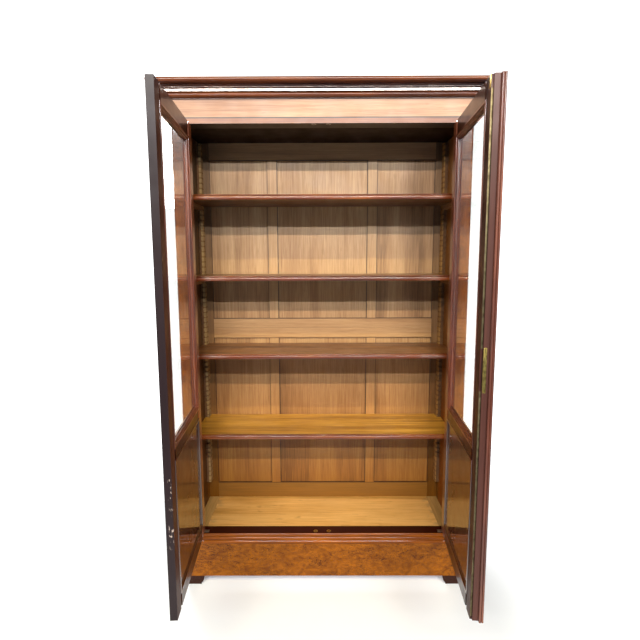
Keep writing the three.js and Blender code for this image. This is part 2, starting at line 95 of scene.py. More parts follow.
# ---- Camera, lights and stage -----------------------------------------------------------------------
CAMERA_PLACE = Vector((-0.005, FRONT_Y - 2.165, 1.586))
CAMERA_YAW, CAMERA_PITCH, CAMERA_ROLL = math.radians(-0.2), math.radians(-7.31), math.radians(-0.17)
CAMERA_LENS_MM = 26.86
CAMERA_SENSOR_MM = 36


def make_camera():
    camera = bpy.data.objects.new("camera", bpy.data.cameras.new("camera"))
    camera.data.lens = CAMERA_LENS_MM
    camera.data.sensor_width = CAMERA_SENSOR_MM
    forward = Vector((
        math.sin(CAMERA_YAW) * math.cos(CAMERA_PITCH), math.cos(CAMERA_YAW) * math.cos(CAMERA_PITCH),
        math.sin(CAMERA_PITCH)))
    right = Vector((math.cos(CAMERA_YAW), -math.sin(CAMERA_YAW), 0))
    up = right.cross(forward)
    rolled = right * math.cos(CAMERA_ROLL) + up * math.sin(CAMERA_ROLL)
    up = rolled.cross(forward)
    turn = Matrix((rolled, up, -forward)).transposed().to_4x4()
    camera.matrix_world = Matrix.Translation(CAMERA_PLACE) @ turn
    bpy.context.scene.collection.objects.link(camera)
    bpy.context.scene.camera = camera


def make_strip(name, place, target, size, power, color):
    """A rectangular light, size[0] wide and size[1] high."""
    data = bpy.data.lights.new(name, "AREA")
    data.shape = "RECTANGLE"
    data.size, data.size_y = size
    data.energy = power
    data.color = color
    light = bpy.data.objects.new(name, data)
    light.location = place
    light.rotation_euler = (Vector(target) - Vector(place)).to_track_quat("-Z", "Y").to_euler()
    bpy.context.scene.collection.objects.link(light)


WORLD_SEEN = 2.0         # strength of the white behind the case, seen directly or through a pane
WORLD_LIGHT = 0.22       # strength of the faint blue light from all round
WORLD_COLOR = (0.56, 0.74, 1.0, 1)
WHITE = (1, 1, 1, 1)
NO_BOUNCE = 0.5          # depths are whole numbers, so one below this is 0
TUBE = (6.0, 0.07)
COOL, WARM, AMBER, PLAIN = (0.86, 0.92, 1.0), (1.0, 0.86, 0.74), (1.0, 0.90, 0.45), (1.0, 0.97, 0.94)
# Name, place, what it is aimed at, size, power and colour. The three rows of ceiling tubes throw
# the stepped shadows under the shelves, and rear_fill lights the case from behind.
LIGHTS = (
    ("tube_far", (0, -4.95, 3.50), (0, 0.3, 1.3), TUBE, 250, COOL),
    ("tube_middle", (0, -3.66, 3.57), (0, 0.3, 1.3), TUBE, 205, WARM),
    ("tube_near", (0, -3.37, 4.83), (0, 0.3, 1.2), TUBE, 170, AMBER),
    ("rear_fill", (-1.5, 4.5, 3.2), (0, 0.3, 1.2), (3.0, 2.0), 260, PLAIN),
)


def make_world():
    """White where the camera sees it, also through glass, and a faint blue light for all else."""
    world = bpy.data.worlds.new("studio")
    world.use_nodes = True
    tree = world.node_tree
    tree.nodes.clear()

    def background(color, strength):
        node = tree.nodes.new("ShaderNodeBackground")
        node.inputs["Color"].default_value = color
        node.inputs["Strength"].default_value = strength
        return node.outputs["Background"]

    def math_node(operation, first, second):
        node = tree.nodes.new("ShaderNodeMath")
        node.operation = operation
        tree.links.new(first, node.inputs[0])
        if isinstance(second, float):
            node.inputs[1].default_value = second
        else:
            tree.links.new(second, node.inputs[1])
        return node.outputs["Value"]

    ray = tree.nodes.new("ShaderNodeLightPath").outputs
    before_bounce = math_node("LESS_THAN", ray["Diffuse Depth"], NO_BOUNCE)
    through_glass = math_node("MULTIPLY", ray["Is Transmission Ray"], before_bounce)
    seen = math_node("MAXIMUM", ray["Is Camera Ray"], through_glass)
    mix = tree.nodes.new("ShaderNodeMixShader")
    output = tree.nodes.new("ShaderNodeOutputWorld")
    tree.links.new(seen, mix.inputs["Fac"])
    tree.links.new(background(WORLD_COLOR, WORLD_LIGHT), mix.inputs[1])
    tree.links.new(background(WHITE, WORLD_SEEN), mix.inputs[2])
    tree.links.new(mix.outputs["Shader"], output.inputs["Surface"])
    bpy.context.scene.world = world


make_camera()
make_world()
for light in LIGHTS:
    make_strip(*light)
bpy.context.scene.view_settings.view_transform = "Standard"


# ---- Materials ---------------------------------------------------------------------------------------
def rgb(code):
    """Linear colour from an sRGB code such as 7A3A1A."""
    values = [int(code[i:i + 2], 16) / 255 for i in (0, 2, 4)]
    return tuple(v / 12.92 if v <= 0.04045 else ((v + 0.055) / 1.055) ** 2.4 for v in values) + (1,)


class Graph:
    """A material's nodes. An input is given as a value or as another node's output."""

    def __init__(self, name):
        self.material = bpy.data.materials.new(name)
        self.material.use_nodes = True
        self.tree = self.material.node_tree
        self.tree.nodes.clear()

    def add(self, kind, inputs=None, **settings):
        node = self.tree.nodes.new("ShaderNode" + kind)
        for key, value in settings.items():
            setattr(node, key, value)
        for key, value in (inputs or {}).items():
            if isinstance(value, bpy.types.NodeSocket):
                self.tree.links.new(value, node.inputs[key])
            else:
                node.inputs[key].default_value = value
        return node

    def math(self, operation, first, second=0.0, clamp=False):
        return self.add("Math", {0: first, 1: second}, operation=operation, use_clamp=clamp).outputs[0]

    def noise(self, vector, scale, detail=2.0, distortion=0.0, roughness=0.5):
        return self.add("TexNoise", {
            "Vector": vector, "Scale": scale, "Detail": detail, "Distortion": distortion,
            "Roughness": roughness}).outputs["Fac"]

    def stretch(self, vector, scale):
        return self.add("Mapping", {"Vector": vector, "Scale": scale}).outputs["Vector"]

    def ramp(self, factor, stops):
        """A value or colour that goes through stops, which are (position, value) pairs."""
        node = self.add("ValToRGB", {"Fac": factor})
        elements = node.color_ramp.elements
        while len(elements) < len(stops):
            elements.new(0.5)
        for element, (position, color) in zip(elements, stops):
            element.position = position
            element.color = color if isinstance(color, tuple) else (color, color, color, 1)
        return node.outputs["Color"]

    def rise(self, value, low, high, top=1.0):
        """0 below low, then up to top at high."""
        return self.ramp(value, [(low, 0.0), (high, top)])

    def mix(self, factor, first, second, blend="MIX"):
        node = self.add("Mix", data_type="RGBA", blend_type=blend)
        for key, value in ((0, factor), (6, first), (7, second)):
            if isinstance(value, bpy.types.NodeSocket):
                self.tree.links.new(value, node.inputs[key])
            else:
                node.inputs[key].default_value = value
        return node.outputs[2]

    def spot(self):
        """The point on the piece, as a vector."""
        return self.add("TexCoord").outputs["Object"]

    def place(self):
        """X, Y and Z of the point on the piece."""
        return self.add("SeparateXYZ", {"Vector": self.spot()}).outputs

    def near(self, value, place, half):
        """1 within half of a place, and 0 beyond twice that."""
        distance = self.math("ABSOLUTE", self.math("SUBTRACT", value, place))
        return self.add("MapRange", {
            "Value": distance, "From Min": half, "From Max": 2 * half, "To Min": 1.0,
            "To Max": 0.0}).outputs[0]

    def fade_in(self, value, start, full):
        """0 up to start, then up to 1 at full, which may be the lower of the two."""
        return self.add("MapRange", {"Value": value, "From Min": start, "From Max": full}).outputs[0]

    def between(self, value, low, high):
        above = self.math("GREATER_THAN", value, low)
        return self.math("MULTIPLY", above, self.math("LESS_THAN", value, high))

    def any_of(self, masks):
        whole = masks[0]
        for mask in masks[1:]:
            whole = self.math("MAXIMUM", whole, mask)
        return whole

    def bump(self, height, strength, distance):
        return self.add("Bump", {
            "Height": height, "Strength": strength, "Distance": distance}).outputs["Normal"]

    def surface(self, shader):
        output = self.add("OutputMaterial")
        self.tree.links.new(shader, output.inputs["Surface"])
        return self.material


JOINT_DIRT = "2A1A10"
JOINT_HALF = 1.3 * MM
JOINT_STRENGTH = 0.8
LOW_SHADE_ABOVE = 1.75        # height above which the oak gets no painted shade
SEED_STEP = (1.37, 2.11, 0.73)      # shifts the pattern, so that no two pieces share it


def along(axis, share):
    """A mapping scale that draws a pattern out along the grain."""
    return tuple(share if letter == axis else 1.0 for letter in "xyz")


def grain_space(g, seed, turn=0.0, mitred=False, framed=None):
    """Coordinates for the grain, turned into the leaf's own directions for a door. On a mitred
    surround the returns along the sides swap x and y, so that the grain turns the corner. On a
    framed piece, x and z are swapped outside the heights given, so that its rails run across."""
    place = g.spot()
    vector = g.add("Mapping", {
        "Vector": place, "Rotation": (0, 0, turn), "Location": tuple(seed * step for step in SEED_STEP)},
    ).outputs["Vector"]
    if framed:
        parts = g.add("SeparateXYZ", {"Vector": place}).outputs
        rails = g.math("MAXIMUM", g.math("LESS_THAN", parts["Z"], framed[0]),
                       g.math("GREATER_THAN", parts["Z"], framed[1]))
        across = g.add("CombineXYZ", {"X": parts["Z"], "Y": parts["Y"], "Z": parts["X"]}).outputs["Vector"]
        return g.mix(rails, vector, across)
    if not mitred:
        return vector
    parts = g.add("SeparateXYZ", {"Vector": place}).outputs
    across = g.math("ADD", g.math("ABSOLUTE", parts["X"]), parts["Y"])
    on_return = g.math("GREATER_THAN", across, HALF_WIDTH + FRONT_Y)
    swapped = g.add("CombineXYZ", {"X": parts["Y"], "Y": parts["X"], "Z": parts["Z"]}).outputs["Vector"]
    return g.mix(on_return, vector, swapped)


# Share of each pattern in the tone of the wood, and the scales of the marks on it.
RING_SHARE, STREAK_SHARE, HAIR_SHARE, FIGURE_SHARE = 0.26, 0.8, 0.3, 0.5
HAIR_FINER = 4.2
BLOTCH_SCALE, WEAR_SCALE, FLECK_SCALE, CHIP_SCALE, PORE_SCALE = 2.6, 11.0, 34.0, 190.0, 330.0
BARE_CHIP, CHIP_STRENGTH = "C8B4A8", 0.75
PORE_DEPTH = 0.6
GRAIN_RELIEF = 0.6 * MM


def wood_tone(g, space, axis, rings, width, streak, contrast):
    """How light the grain is, from 0 to 1, and the fine streaks by themselves."""
    figure = g.noise(g.stretch(space, along(axis, 0.08)), width, detail=3.0, distortion=0.5)
    wave = g.math("SINE", g.math("MULTIPLY", figure, rings))
    ring = g.add("Math", {0: wave, 1: 0.5, 2: 0.5}, operation="MULTIPLY_ADD").outputs[0]
    fine = g.noise(g.stretch(space, along(axis, 0.035)), streak, detail=3.0, roughness=0.6)
    hair = g.noise(g.stretch(space, along(axis, 0.02)), streak * HAIR_FINER, detail=1.0)
    tone = None
    parts = ((ring, RING_SHARE), (fine, STREAK_SHARE), (hair, HAIR_SHARE), (figure, FIGURE_SHARE))
    for part, share in parts:
        swing = g.math("MULTIPLY", g.math("SUBTRACT", part, 0.5), share)
        tone = g.math("ADD", tone, swing) if tone else swing
    return g.math("ADD", g.math("MULTIPLY", tone, contrast), 0.5, clamp=True), fine


def wood(name, dark, middle, light, axis="z", seed=0, turn=0.0, mitred=False, framed=None, rings=18.0,
         width=6.0, streak=110.0, contrast=1.0, pores=0.25, blotch=0.18, rough=0.4, coat=0.0,
         coat_rough=0.05, coat_ior=1.5, gloss=0.5, bump=0.15, flecks=0.0, ageing=None, joints=None,
         zones=(), chipped=None):
    """Sawn and finished wood: growth rings as contour lines of a drawn-out noise, fine streaks, short
    dark pores and slow blotches. The tint for the lower part is painted shade, which comes in towards
    the floor. joints gives the heights of cross joints, and how far from the middle the upright ones
    are that run between them.
    zones are (mask function, colour) pairs, and chipped is a mask function for where the polish is
    chipped off. gloss is the reflection of the wood itself, under the coat."""
    g = Graph(name)
    space = grain_space(g, seed, turn, mitred, framed)
    tone, fine = wood_tone(g, space, axis, rings, width, streak, contrast)
    color = g.ramp(tone, [(0.2, rgb(dark)), (0.5, rgb(middle)), (0.8, rgb(light))])
    slow = g.noise(space, BLOTCH_SCALE, detail=2.0)
    shade = g.ramp(slow, [(0.25, 1.0 - blotch), (0.75, 1.0 + blotch * 0.5)])
    color = g.mix(1.0, color, shade, "MULTIPLY")
    pore_noise = g.noise(g.stretch(space, along(axis, 0.045)), PORE_SCALE, detail=1.0)
    pore_mask = g.rise(pore_noise, 0.60, 0.70)
    color = g.mix(g.math("MULTIPLY", pore_mask, pores), color, rgb(dark))
    if flecks:
        fleck_noise = g.noise(g.stretch(space, along(axis, 0.35)), FLECK_SCALE, detail=2.0)
        fleck_mask = g.rise(fleck_noise, 0.68, 0.74)
        color = g.mix(g.math("MULTIPLY", fleck_mask, flecks), color, rgb(dark))
    for mask, tint in zones:
        grained = g.mix(1.0, rgb(tint), g.ramp(tone, [(0.2, 0.62), (0.8, 1.3)]), "MULTIPLY")
        color = g.mix(mask(g), color, grained)
    if joints:
        color = g.mix(joint_lines(g, *joints), color, rgb(JOINT_DIRT))
    if chipped:
        chips = g.rise(g.noise(g.stretch(space, (1, 1, 0.4)), CHIP_SCALE, detail=3.0), 0.63, 0.67)
        chips = g.math("MULTIPLY", chips, chipped(g))
        color = g.mix(g.math("MULTIPLY", chips, CHIP_STRENGTH), color, rgb(BARE_CHIP))
    # Painted shade: the wood is tinted darker and yellower towards the floor, standing in for light that
    # falls off lower down.
    if ageing:
        low = g.fade_in(g.place()["Z"], LOW_SHADE_ABOVE, DECK_Z)
        color = g.mix(low, color, g.mix(1.0, color, rgb(ageing), "MULTIPLY"))
    relief = g.math("SUBTRACT", fine, g.math("MULTIPLY", pore_mask, PORE_DEPTH))
    normal = g.bump(relief, bump, GRAIN_RELIEF)
    worn = g.noise(space, WEAR_SCALE, detail=4.0)
    roughness = g.ramp(worn, [(0.3, rough * 0.85), (0.7, min(1.0, rough * 1.2))])
    shader = g.add("BsdfPrincipled", {
        "Base Color": color, "Roughness": roughness, "Normal": normal, "Coat Weight": coat,
        "Coat Roughness": coat_rough, "Coat IOR": coat_ior, "Specular IOR Level": gloss})
    return g.surface(shader.outputs["BSDF"])


def joint_lines(g, crossings, uprights):
    """Dirt in the joints of a frame, drawn on both pieces that meet there."""
    parts = g.place()
    masks = [g.near(parts["Z"], height, JOINT_HALF) for height in crossings]
    if uprights:
        aside = g.math("ABSOLUTE", parts["X"])
        lines = g.any_of([g.near(aside, place, JOINT_HALF) for place in uprights])
        masks.append(g.math("MULTIPLY", lines, g.between(parts["Z"], min(crossings), max(crossings))))
    return g.math("MULTIPLY", g.any_of(masks), JOINT_STRENGTH)


SWIRL_SCALE, CURL_SCALE, EYE_SCALE, PATCH_SCALE, BEND_SCALE, CLOUD_SCALE = 24.0, 95.0, 46.0, 8.0, 30.0, 2.2
BEND_SHARE = 0.075       # how far the curls and eyes are bent out of line
CURL_STRENGTH, EYE_STRENGTH = 0.85, 0.55


def burr(name, dark, middle, light, axis="x", seed=0, mitred=False, rough=0.3, coat=0.6, gloss=0.5,
         zones=()):
    """Burr veneer: swirling figure with small dark eyes and curls, drawn out a little along the
    grain. zones and gloss are as in wood."""
    g = Graph(name)
    space = grain_space(g, seed, mitred=mitred)
    drawn = g.stretch(space, along(axis, 0.55))
    swirl = g.noise(drawn, SWIRL_SCALE, detail=5.0, distortion=2.2)
    push = g.add("TexNoise", {"Vector": drawn, "Scale": BEND_SCALE, "Detail": 2.0}).outputs["Color"]
    bend = g.add("MixRGB", {0: BEND_SHARE, 1: drawn, 2: push}).outputs["Color"]
    curl = g.noise(bend, CURL_SCALE, detail=3.0, distortion=2.8)
    eyes = g.add("TexVoronoi", {"Vector": bend, "Scale": EYE_SCALE}, feature="F1").outputs["Distance"]
    color = g.ramp(swirl, [(0.30, rgb(middle)), (0.62, rgb(light))])
    patch = g.ramp(g.noise(drawn, PATCH_SCALE, detail=2.0, distortion=1.0), [(0.38, 0.3), (0.58, 1.0)])
    curl_mask = g.math("MULTIPLY", g.rise(curl, 0.50, 0.60), patch)
    color = g.mix(g.math("MULTIPLY", curl_mask, CURL_STRENGTH), color, rgb(dark))
    eye_mask = g.math("MULTIPLY", g.ramp(eyes, [(0.06, 1.0), (0.20, 0.0)]), patch)
    color = g.mix(g.math("MULTIPLY", eye_mask, EYE_STRENGTH), color, rgb(dark))
    slow = g.ramp(g.noise(space, CLOUD_SCALE, detail=2.0), [(0.3, 0.84), (0.7, 1.08)])
    color = g.mix(1.0, color, slow, "MULTIPLY")
    for mask, tint in zones:
        color = g.mix(mask(g), color, rgb(tint))
    normal = g.bump(swirl, 0.05, 0.5 * MM)
    roughness = g.ramp(curl, [(0.3, rough * 0.8), (0.7, rough * 1.2)])
    shader = g.add("BsdfPrincipled", {
        "Base Color": color, "Roughness": roughness, "Normal": normal, "Coat Weight": coat,
        "Coat Roughness": 0.08, "Coat IOR": 1.5, "Specular IOR Level": gloss})
    return g.surface(shader.outputs["BSDF"])


TARNISH_SCALE, SCRATCH_SCALE = 55.0, 1040.0


def metal(name, color, tarnish, rough, seed=0):
    """Old metal: drawn-out scratches and patches of tarnish."""
    g = Graph(name)
    space = grain_space(g, seed)
    patch = g.noise(space, TARNISH_SCALE, detail=4.0, roughness=0.65)
    tone = g.mix(g.rise(patch, 0.42, 0.68, 0.85), rgb(color), rgb(tarnish))
    scratch = g.noise(g.stretch(space, along("z", 0.05)), SCRATCH_SCALE, detail=2.0)
    roughness = g.ramp(scratch, [(0.3, rough * 0.75), (0.7, min(1.0, rough * 1.5))])
    normal = g.bump(scratch, 0.12, 0.3 * MM)
    shader = g.add("BsdfPrincipled", {
        "Base Color": tone, "Metallic": 1.0, "Roughness": roughness, "Normal": normal})
    return g.surface(shader.outputs["BSDF"])


WAVE_SCALE, SMEAR_SCALE = 9.0, 14.0
GLASS_TINT = "F4F8F6"
GLASS_SHADOW = (0.92, 0.95, 0.93, 1)


def old_glass(name):
    """Drawn sheet glass with faint waves. Shadow rays pass straight through it."""
    g = Graph(name)
    space = grain_space(g, 3)
    wave = g.noise(g.stretch(space, (0.6, 0.6, 0.25)), WAVE_SCALE, detail=1.0)
    smear = g.rise(g.noise(space, SMEAR_SCALE, detail=5.0), 0.35, 0.75, 0.035)
    normal = g.bump(wave, 0.05, 2 * MM)
    pane = g.add("BsdfPrincipled", {
        "Base Color": rgb(GLASS_TINT), "Roughness": smear, "IOR": 1.5, "Transmission Weight": 1.0,
        "Normal": normal}).outputs["BSDF"]
    clear = g.add("BsdfTransparent", {"Color": GLASS_SHADOW}).outputs["BSDF"]
    shadow = g.add("LightPath").outputs["Is Shadow Ray"]
    return g.surface(g.add("MixShader", {0: shadow, 1: pane, 2: clear}).outputs["Shader"])


MAHOGANY = ("160704", "38140A", "5C2A14")
OAK = ("80603E", "A8825A", "C2A076")
# The tint of the painted shade that darkens the oak towards the floor.
OAK_LOW_SHADE = "DEB448"
POLISH = dict(rough=0.34, coat=0.9, coat_rough=0.08, coat_ior=1.6, bump=0.05, pores=0.3)
SATIN_OAK = dict(rough=0.5, coat=0.0, bump=0.2, pores=0.3, streak=150.0, rings=14.0, blotch=0.14,
                 contrast=0.95, ageing=OAK_LOW_SHADE)


def mahogany(name, axis="z", seed=0, turn=0.0, mitred=False, tones=MAHOGANY, **settings):
    return wood(name, *tones, axis=axis, seed=seed, turn=turn, mitred=mitred, **{**POLISH, **settings})


def oak(name, axis="z", seed=0, tones=OAK, **settings):
    return wood(name, *tones, axis=axis, seed=seed, **{**SATIN_OAK, **settings})


def paint(names, material):
    for name in names:
        slots = NODES[name].data.materials
        slots.clear()
        slots.append(material)


# ---- Mesh helpers ------------------------------------------------------------------------------------
SMOOTH_ANGLE = math.radians(35)      # edges that turn by more than this stay sharp


def piece(name, build, material, body, matrix=None, replaces=()):
    """Makes a mesh piece from a bmesh builder and lets it ride on a body. material is one material,
    or a list of them when build sets material_index."""
    mesh = bpy.data.meshes.new(name)
    shape = bmesh.new()
    build(shape)
    if matrix is not None:
        shape.transform(matrix)
        if matrix.determinant() < 0:
            bmesh.ops.reverse_faces(shape, faces=shape.faces[:])
    bmesh.ops.recalc_face_normals(shape, faces=shape.faces[:])
    for face in shape.faces:
        face.smooth = True
    for edge in shape.edges:
        if len(edge.link_faces) == 2 and edge.calc_face_angle(0) > SMOOTH_ANGLE:
            edge.smooth = False
    shape.to_mesh(mesh)
    shape.free()
    for look in material if isinstance(material, list) else [material]:
        mesh.materials.append(look)
    thing = bpy.data.objects.new(name, mesh)
    bpy.context.scene.collection.objects.link(thing)
    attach(thing, body)
    if replaces:
        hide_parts(*replaces)


def skin(shape, rings, closed=True, caps=False):
    """Joins rings of points with faces. closed joins the last ring to the first."""
    loops = [[shape.verts.new(point) for point in ring] for ring in rings]
    pairs = list(zip(loops, loops[1:])) + ([(loops[-1], loops[0])] if closed else [])
    for first, second in pairs:
        for i in range(len(first)):
            j = (i + 1) % len(first)
            shape.faces.new((first[i], first[j], second[j], second[i]))
    if caps:
        shape.faces.new(loops[0][::-1])
        shape.faces.new(loops[-1])


def swept_frame(shape, x0, x1, z0, z1, profile):
    """A moulding round a rectangle with mitred corners. Profile points are [inset, y]."""
    corners = ((x0, z0, 1, 1), (x1, z0, -1, 1), (x1, z1, -1, -1), (x0, z1, 1, -1))
    skin(shape, [
        [(x + dx * inset, y, z + dz * inset) for inset, y in profile] for x, z, dx, dz in corners])


def extruded_x(shape, profile, x0, x1):
    """A section in the YZ plane drawn along X."""
    skin(shape, [[(x, y, z) for y, z in profile] for x in (x0, x1)], closed=False, caps=True)


def extruded_z(shape, plan, z0, z1):
    """A section in the XY plane drawn along Z."""
    skin(shape, [[(x, y, z) for x, y in plan] for z in (z0, z1)], closed=False, caps=True)


def block(shape, low, high, chamfer=0.0):
    """A box whose edges are chamfered."""
    result = bmesh.ops.create_cube(shape, size=1.0)
    size = [b - a for a, b in zip(low, high)]
    middle = [(a + b) / 2 for a, b in zip(low, high)]
    for vertex in result["verts"]:
        vertex.co = Vector(m + s * c for m, s, c in zip(middle, size, vertex.co))
    if chamfer:
        edges = {edge for vertex in result["verts"] for edge in vertex.link_edges}
        bmesh.ops.bevel(shape, geom=list(edges), offset=chamfer, segments=2, profile=0.6, affect="EDGES")


def arc(cx, cy, rx, ry, start, end, steps):
    """Points on an ellipse, from one angle to another in degrees."""
    angles = [math.radians(start + (end - start) * i / steps) for i in range(steps + 1)]
    return [(cx + rx * math.cos(angle), cy + ry * math.sin(angle)) for angle in angles]


def in_mm(*points):
    return [(first * MM, second * MM) for first, second in points]


# A screw head's slot, flat top, sunk floor and dome, as shares of its radius.
SCREW_SLOT, SCREW_FLAT, SCREW_SUNK, SCREW_DOME = 0.14, 0.86, 0.4, 0.13
SCREW_STEPS = 10


def screw(shape, place, radius, normal, turn):
    """A countersunk screw head: two half discs either side of a slot, over a sunk floor."""
    frame_turn = Vector(normal).to_track_quat("Z", "Y").to_matrix().to_4x4()
    set_up = Matrix.Translation(place) @ frame_turn @ Matrix.Rotation(math.radians(turn), 4, "Z")
    slot_half = radius * SCREW_SLOT
    start = math.asin(slot_half / radius)
    for flip in (0, math.pi):
        angles = [start + (math.pi - 2 * start) * i / SCREW_STEPS for i in range(SCREW_STEPS + 1)]
        rim = [(radius * math.cos(a + flip), radius * math.sin(a + flip)) for a in angles]
        inner = [
            (x * SCREW_FLAT, math.copysign(max(abs(y * SCREW_FLAT), slot_half), y)) for x, y in rim]
        rings = [[(x, y, -SCREW_SUNK * radius) for x, y in rim], [(x, y, 0) for x, y in rim],
                 [(x, y, SCREW_DOME * radius) for x, y in inner]]
        skin(shape, [[set_up @ Vector(point) for point in ring] for ring in rings], closed=False, caps=True)


def soften(name, width, segments=2):
    """Rounds the arrises of a CAD node and shades it smooth between them."""
    thing = NODES[name]
    for polygon in thing.data.polygons:
        polygon.use_smooth = True
    modifier = thing.modifiers.new("arris", "BEVEL")
    modifier.width = width
    modifier.segments = segments
    modifier.limit_method = "ANGLE"
    modifier.angle_limit = SMOOTH_ANGLE
    modifier.harden_normals = True


# ---- Masks: functions that take a graph and return where a look applies ----------------------------
def under(height):
    return lambda g: g.math("LESS_THAN", g.place()["Z"], height)


def over(height):
    return lambda g: g.math("GREATER_THAN", g.place()["Z"], height)


def before(depth):
    return lambda g: g.math("LESS_THAN", g.place()["Y"], depth)


def behind(depth):
    return lambda g: g.math("GREATER_THAN", g.place()["Y"], depth)


def further_out(aside):
    """Further than this from the middle of the case, on either side."""
    return lambda g: g.math("GREATER_THAN", g.math("ABSOLUTE", g.place()["X"]), aside)


def both(first, second):
    return lambda g: g.math("MULTIPLY", first(g), second(g))


# ---- Case ------------------------------------------------------------------------------------------
SKIN = 0.5 * MM
FOOT_TOP = 43 * MM
LEDGE_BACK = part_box("bottom_board")[0].y
FRIEZE_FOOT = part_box("frieze")[0].z
FRIEZE_JOINT_HALF = 1.8 * MM
FRIEZE_JOINT_DIRT = "2A120A"
REAR_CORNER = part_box("right_rear_rack")[0].y
OUTER_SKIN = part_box("right_side")[1].x - 10 * MM
# Both side walls are one wood: the left one's dark tones are painted shade, the right one's orange tones
# painted light.
WALL_TONES_LIT_AND_SHADED = {"left": ("2C1C10", "4E341C", "6A4A2A"), "right": ("503014", "845424", "A8763A")}
GRIME_STARTS, GRIME_FULL = 0.53, 0.60       # distances from the middle of the deck
GRIME_SCALE = 26.0


def at_frieze_joint(g):
    return g.near(g.place()["Z"], FRIEZE_FOOT, FRIEZE_JOINT_HALF)


def grimy_ends(g):
    """Grime along both ends of the deck."""
    near_end = g.fade_in(g.math("ABSOLUTE", g.place()["X"]), GRIME_STARTS, GRIME_FULL)
    patch = g.rise(g.noise(g.spot(), GRIME_SCALE, detail=5.0), 0.46, 0.6, 0.7)
    return g.math("MULTIPLY", near_end, patch)


def paint_base():
    on_ledge = over(DECK_Z - SKIN)
    paint(["plinth"], burr(
        "burr_plinth", "2C0E02", "703A04", "9A580A", axis="x", seed=1, mitred=True, coat=0.05, gloss=0.15,
        zones=[(under(FOOT_TOP), "32180F")]))
    paint(["left_front_post", "right_front_post"], burr(
        "burr_post", "2E1004", "6A2C08", "96501A", axis="z", seed=4))
    paint(["base_moulding"], mahogany(
        "mahogany_base", "x", 2, mitred=True, tones=("421803", "8C4803", "B46C08"), coat=0.12,
        coat_rough=0.12, gloss=0.1, bump=0.0,
        zones=[(on_ledge, "300A03"), (both(on_ledge, behind(LEDGE_BACK)), "A88450")]))


def paint_head():
    # The rail's underside, over the opening, is tinted near black: painted shade.
    paint(["top_front_rail"], mahogany(
        "mahogany_rail", "x", 6, tones=("58280E", "804624", "9C6438"), coat=0.4, coat_rough=0.35, rough=0.5,
        zones=[(at_frieze_joint, FRIEZE_JOINT_DIRT), (under(OPENING_TOP + SKIN), "180502")]))
    paint(["frieze"], mahogany(
        "mahogany_frieze", "x", 5, mitred=True, tones=("7E4C28", "A07250", "B68A66"), coat=0.35,
        coat_rough=0.38, rough=0.5, flecks=0.3, zones=[(at_frieze_joint, FRIEZE_JOINT_DIRT)]))


def paint_inside():
    for name, side in SIDES:
        # Each wall gets its own tones: painted shade on the left, painted light on the right.
        paint([f"{name}_side"], wood(
            f"wall_wood_painted_light_{name}", *WALL_TONES_LIT_AND_SHADED[name], axis="z", seed=7 + side, rough=0.45, coat=0.15,
            coat_rough=0.2, gloss=0.2, bump=0.1, ageing=OAK_LOW_SHADE,
            zones=[(behind(REAR_CORNER), "7E6246"), (further_out(OUTER_SKIN), "6A3216")]))
    # The top board and dust board are given near-black tones: painted shade inside the head of the case.
    paint(["top_board", "dust_board"], oak(
        "oak_top", "x", 8, tones=("0E0603", "1E0F07", "2E1A0C"), gloss=0.15, ageing=None))
    paint(["bottom_board"], oak(
        "oak_deck", "x", 9, tones=("A07434", "D09B52", "E6B670"), flecks=0.5, ageing=None, contrast=1.0,
        zones=[(grimy_ends, "6E6048")]))


paint_base()
paint_head()
paint_inside()

# ---- Back: two frames with three panels each ---------------------------------------------------------
PANEL_LAP = 8 * MM       # how far a panel reaches into its frame
BACK_UPRIGHTS = (
    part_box("back_upper_middle_panel")[1].x - PANEL_LAP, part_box("back_upper_right_panel")[0].x + PANEL_LAP,
    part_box("back_upper_frame")[1].x)


def paint_back(row, seed, rail_tint=None):
    """One section of the back. rail_tint is for its bottom rail, where that has its own."""
    low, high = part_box(f"back_{row}_middle_panel")
    foot, head = low.z + PANEL_LAP, high.z - PANEL_LAP
    joints = ((foot, head), BACK_UPRIGHTS)
    paint([f"back_{row}_frame"], oak(
        f"oak_{row}_frame", "z", seed, tones=("8A6A46", "B08A60", "C8A67A"), framed=(foot, head),
        contrast=0.7, joints=joints, zones=[(under(foot), rail_tint)] if rail_tint else []))
    for number, column in enumerate(("left", "middle", "right"), 1):
        paint([f"back_{row}_{column}_panel"], oak(
            f"oak_{row}_{column}", "z", seed + number, flecks=0.2, joints=joints))


paint_back("upper", 10)
paint_back("lower", 20, rail_tint="8E7454")

# ---- Racks and cleats --------------------------------------------------------------------------------
NOTCH_PITCH = 26.3 * MM
NOTCH_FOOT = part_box("shelf_4_left_cleat")[0].z
NOTCH_SHARE, NOTCH_SHADE_STRENGTH = 0.3, 0.6         # how much of the pitch is painted shade, and how strongly
RACK_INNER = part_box("right_front_rack")[0].x
# The side, how far the lighter wood reaches from the rack's inner edge, beyond which the rack is tinted
# darker, and its tones.
RACKS = (
    ("left", 11 * MM, ("765A3E", "9C7E54", "BC9C6C")),
    ("right", 6 * MM, ("7A5430", "A27844", "C09658")),
)


# Painted shade in the racks' notches: a darker band at the foot of each pitch.
def notch_shade(g):
    rise = g.math("SUBTRACT", g.place()["Z"], NOTCH_FOOT)
    phase = g.math("FRACT", g.math("DIVIDE", rise, NOTCH_PITCH))
    return g.math("MULTIPLY", g.math("LESS_THAN", phase, NOTCH_SHARE), NOTCH_SHADE_STRENGTH)


for name, light_reach, tones in RACKS:
    raw = wood(f"raw_beech_{name}", *tones, axis="z", seed=31, rough=0.7, gloss=0.2, bump=0.2, pores=0.2,
               zones=[(notch_shade, "6A4A2A"), (further_out(RACK_INNER + light_reach), "6C4E34")])
    paint([f"{name}_{end}_rack" for end in ("front", "rear")], raw)
cleat_wood = oak("oak_cleat", "y", 32, tones=("6A4626", "94683C", "B08450"))
paint([f"shelf_{number}_{name}_cleat" for number in SHELVES for name, _ in SIDES], cleat_wood)

